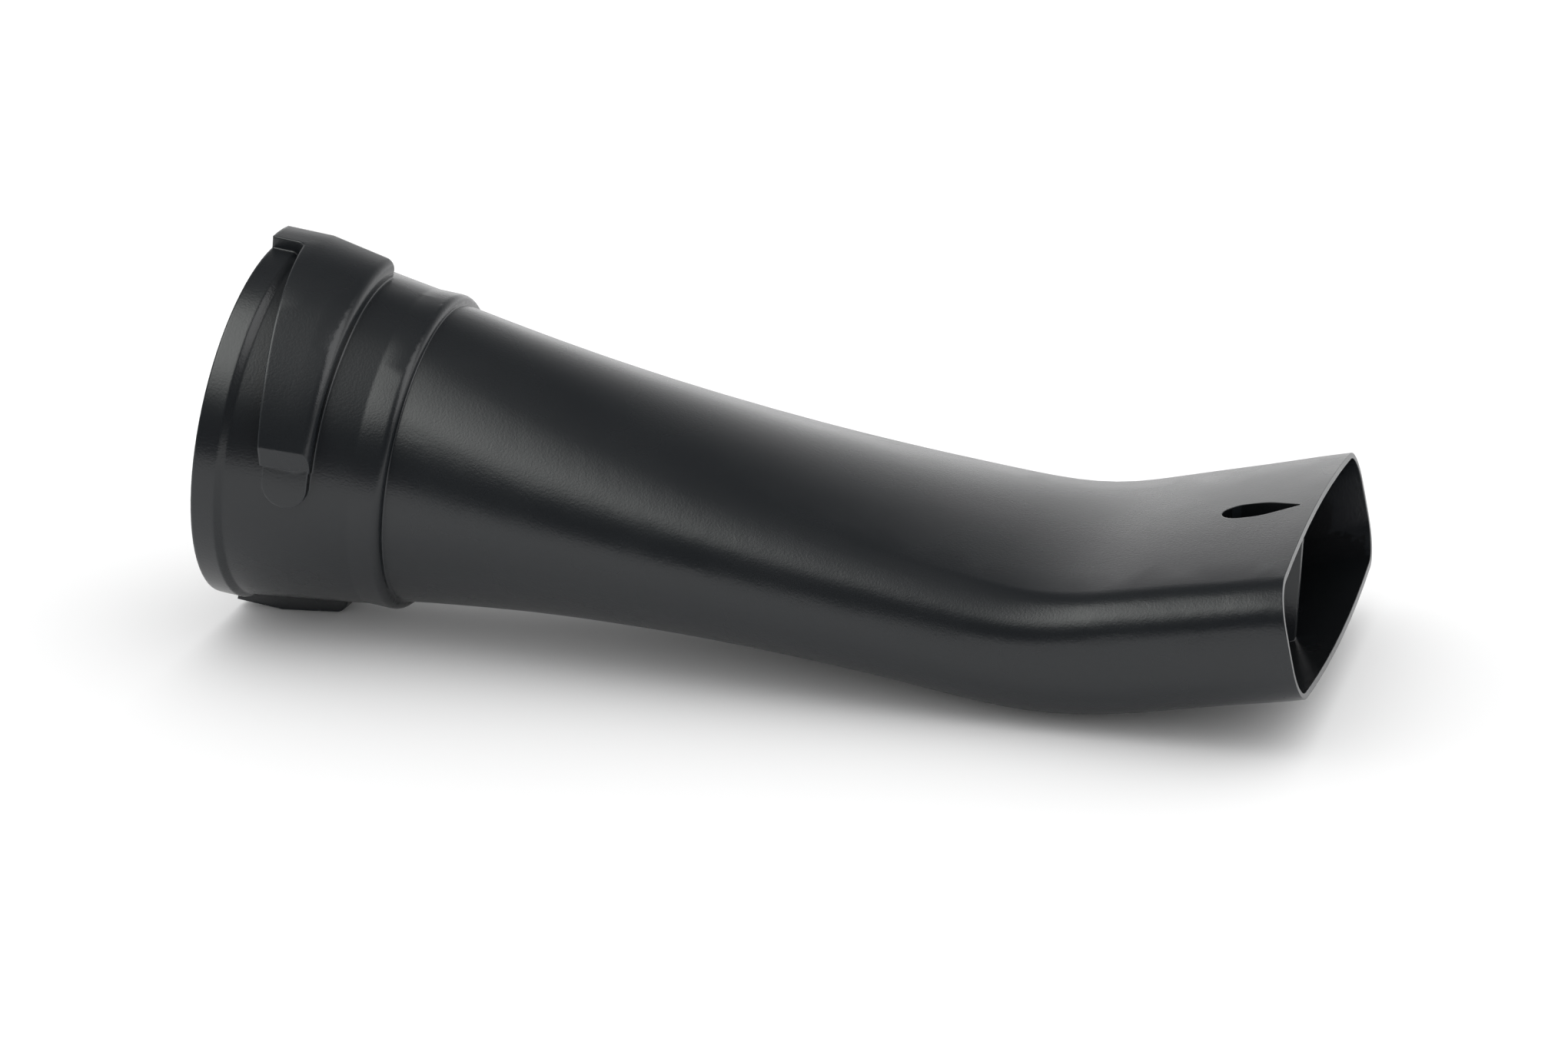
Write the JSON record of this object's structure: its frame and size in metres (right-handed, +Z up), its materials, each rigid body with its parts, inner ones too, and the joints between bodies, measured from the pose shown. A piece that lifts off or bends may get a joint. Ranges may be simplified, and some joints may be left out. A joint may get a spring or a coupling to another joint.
{
  "type": "leaf blower nozzle tube",
  "caption": "Hollow black plastic blower nozzle: a round bayonet collar runs into a tube that flattens and bends up to a wide slot mouth with a hollow strut.",
  "frame": {"origin": "on the floor under the middle of the tube's overall box, the tube lying as it comes to rest", "axes": "+X level, from the collar to the mouth; +Y to the tube's left side seen from the collar; +Z up"},
  "size_m": [0.2456, 0.0992, 0.086],
  "materials": {
    "black_plastic": "fine moulded grain, satin"
  },
  "bodies": {
    "root": {"nozzle_tube": "black_plastic"}
  },
  "joints": []
}
